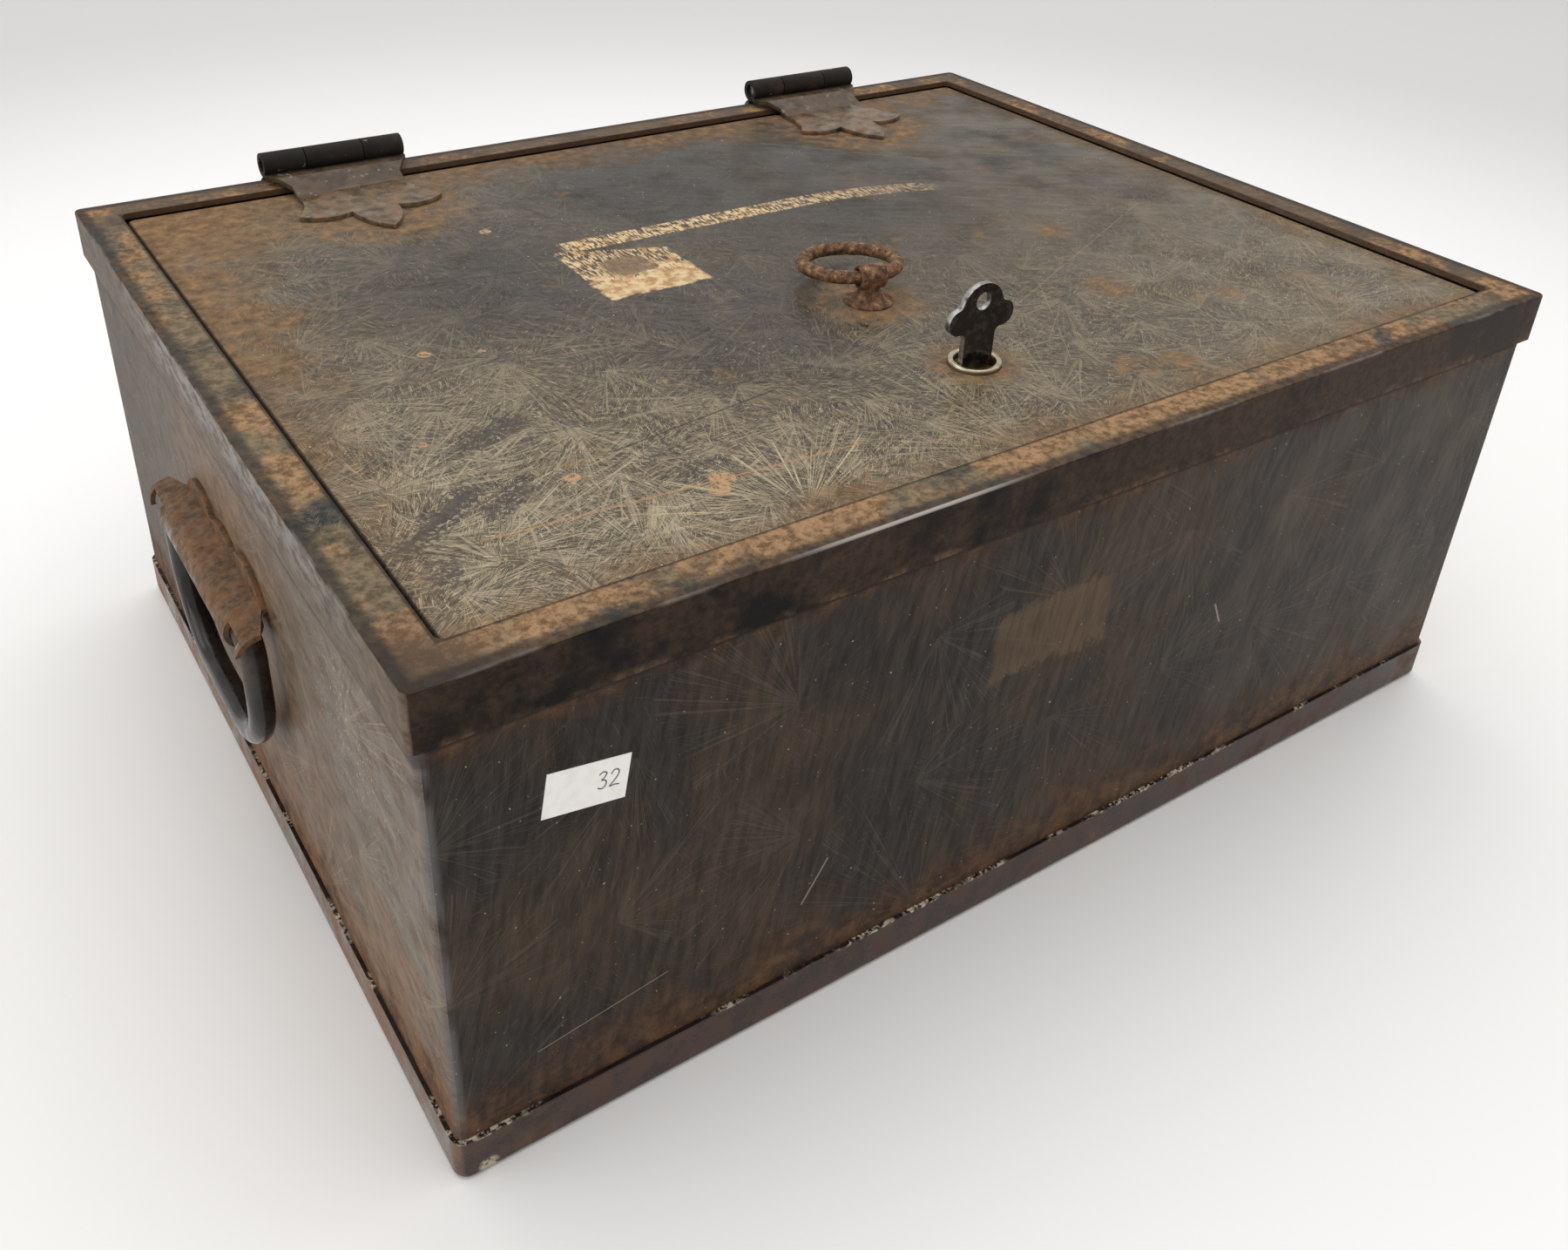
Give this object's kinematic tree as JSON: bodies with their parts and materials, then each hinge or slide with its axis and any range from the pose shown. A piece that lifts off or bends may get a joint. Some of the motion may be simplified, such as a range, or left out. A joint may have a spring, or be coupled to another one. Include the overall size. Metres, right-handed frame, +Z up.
{
  "type": "strongbox",
  "caption": "Low steel strongbox with an inset hinged lid that a key locks, a pull ring on the lid and a drop handle at each end.",
  "frame": {"origin": "middle of the base, on the surface that the box stands on", "axes": "+X to the right along the front, +Y from the front to the hinges, +Z up"},
  "size_m": [0.4266, 0.3128, 0.1862],
  "materials": {
    "base_steel": "dark red-brown paint, worn and rusted",
    "wall_steel": "near-black paint with fine streaks",
    "frame_steel": "dark paint, mottled with orange rust, bright on its worn edges",
    "lid_steel": "dark crackle paint in frost-like fans, rust at its edges",
    "inner_steel": "plain dark paint",
    "hinge_steel": "worn grey-brown paint over steel",
    "plate_steel": "orange-brown rust over dark paint",
    "bail_steel": "dark, handled smooth",
    "ring_iron": "rough and rusty",
    "collar_brass": "bright rim, dull in its corners",
    "lock_brass": "plain machined",
    "lock_steel": "plain machined",
    "key_steel": "blackened, bright on its edges",
    "label_paper": "white paper sticker"
  },
  "bodies": {
    "box": {"base_pan": "base_steel", "body_wrap": "wall_steel", "body_seam_strip": "inner_steel", "bolt_keeper": "inner_steel", "paper_label": "label_paper", "frame_bar_front": "frame_steel", "frame_bar_rear": "frame_steel", "frame_bar_left": "frame_steel", "frame_bar_right": "frame_steel", "lid_ledge_front": "inner_steel", "lid_ledge_rear": "inner_steel", "lid_ledge_left": "inner_steel", "lid_ledge_right": "inner_steel", "hinge_rear_leaf_left": "hinge_steel", "hinge_pin_left": "lock_steel", "handle_plate_left": "plate_steel", "hinge_rear_leaf_right": "hinge_steel", "hinge_pin_right": "lock_steel", "handle_plate_right": "plate_steel"},
    "lid": {"lid_pan": "lid_steel", "hinge_lid_leaf_left": "hinge_steel", "hinge_lid_leaf_right": "hinge_steel", "ring_stud": "ring_iron", "stud_washer": "inner_steel", "keyhole_collar": "collar_brass", "lock_cylinder": "lock_brass", "lock_case": "inner_steel", "lock_pillars": "lock_steel", "lock_cover": "inner_steel", "cover_screws": "lock_steel"},
    "ring": {"pull_ring": "ring_iron"},
    "plug": {"lock_plug": "lock_brass", "lock_wafers": "lock_brass", "lock_cam": "lock_steel"},
    "key": {"key": "key_steel"},
    "bolt": {"lock_bolt": "lock_steel"},
    "handle_left": {"handle_bail_left": "bail_steel"},
    "handle_right": {"handle_bail_right": "bail_steel"}
  },
  "joints": [
    {"name": "lid_hinge", "type": "hinge", "parent": "box", "child": "lid", "pos_m": [0, 0.1528, 0.1685], "axis": [-1, 0, 0], "range_deg": [0, 110]},
    {"name": "ring_swing", "type": "hinge", "parent": "lid", "child": "ring", "pos_m": [0, -0.0435, 0.1688], "axis": [0.9816, -0.1908, 0], "range_deg": [-6.9, 196.9]},
    {"name": "key_turn", "type": "hinge", "parent": "lid", "child": "plug", "pos_m": [0, -0.0955, 0.15], "axis": [0, 0, -1], "range_deg": [0, 90]},
    {"name": "key_withdraw", "type": "slide", "parent": "plug", "child": "key", "axis": [0, 0, 1], "range_m": [0, 0.04]},
    {"name": "bolt_slide", "type": "slide", "parent": "lid", "child": "bolt", "axis": [0, -1, 0], "range_m": [0, 0.01131]},
    {"name": "handle_left_swing", "type": "hinge", "parent": "box", "child": "handle_left", "pos_m": [-0.2077, 0, 0.102], "axis": [0, 1, 0], "range_deg": [-3, 90]},
    {"name": "handle_right_swing", "type": "hinge", "parent": "box", "child": "handle_right", "pos_m": [0.2077, 0, 0.102], "axis": [0, -1, 0], "range_deg": [-3, 90]}
  ],
  "couplings": [
    {"joint": "key_turn", "follows": "bolt_slide", "rad_per_m": 138.8}
  ]
}
